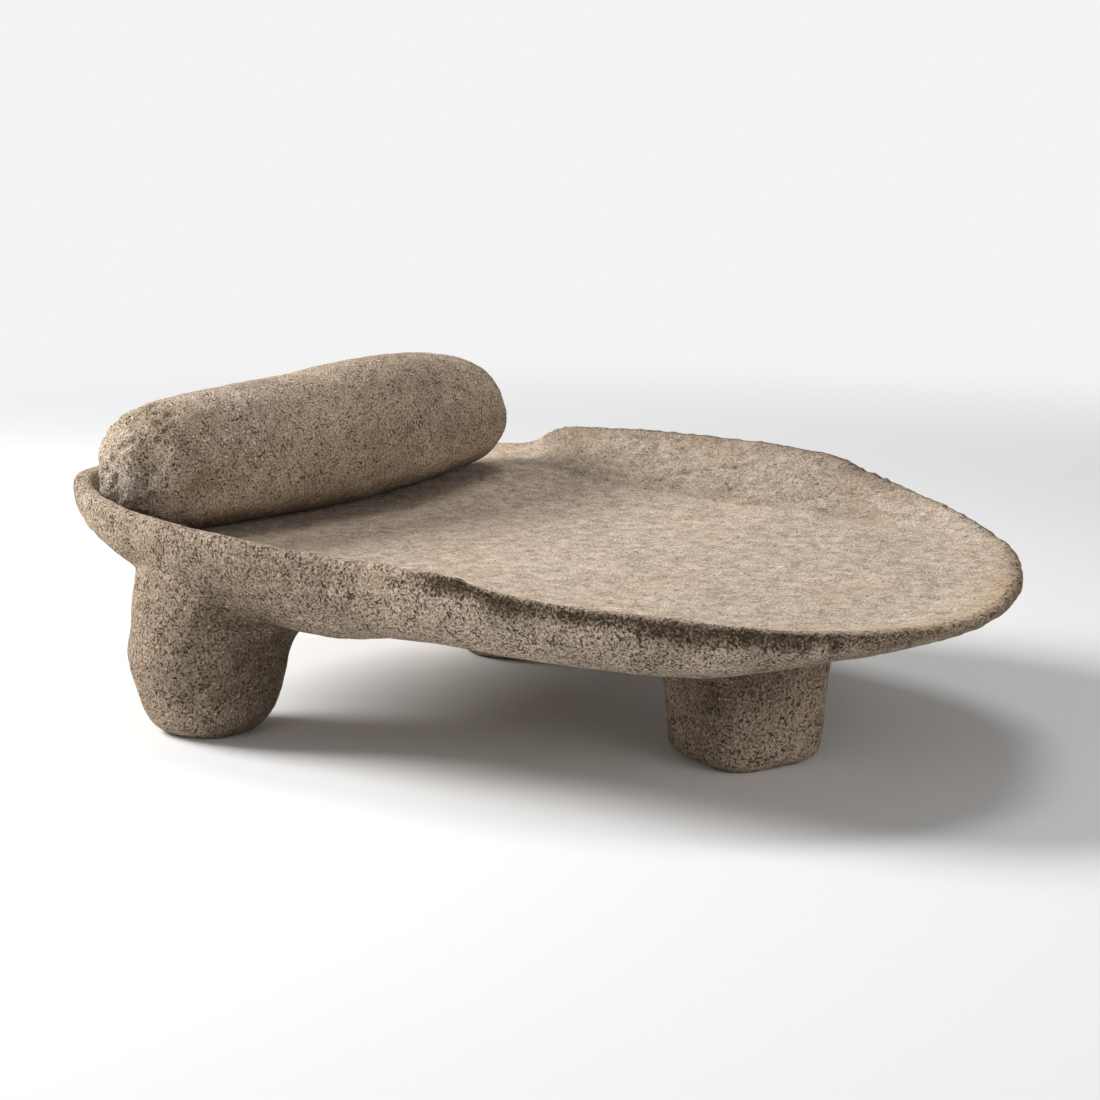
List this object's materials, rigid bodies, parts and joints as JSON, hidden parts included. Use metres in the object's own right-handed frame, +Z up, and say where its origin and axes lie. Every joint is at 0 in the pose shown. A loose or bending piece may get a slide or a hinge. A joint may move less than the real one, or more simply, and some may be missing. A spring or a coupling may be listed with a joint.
{
  "type": "metate grinding stone",
  "caption": "Tripod grinding slab carved from vesicular basalt, with a hollow working face and raised rims, and a loose cylindrical hand stone that slides along it.",
  "frame": {"origin": "on the floor, under the middle of the object's bounding box", "axes": "+X from the high end, where the hand stone rests, to the low end; +Z up; +Y to the far side"},
  "size_m": [0.492, 0.354, 0.166],
  "materials": {
    "basalt": "warm grey-brown vesicular basalt, pitted on the sides and legs, worn smooth and paler on the working face",
    "dark_basalt": "darker, greyer vesicular basalt, finely pecked, with rough pitted ends and small light flecks"
  },
  "bodies": {
    "metate": {"metate": "basalt"},
    "mano": {"mano": "dark_basalt"}
  },
  "joints": [
    {"name": "grinding_stroke", "type": "slide", "parent": "metate", "child": "mano", "axis": [0.9996, 0, -0.0291], "range_m": [0, 0.24]}
  ]
}
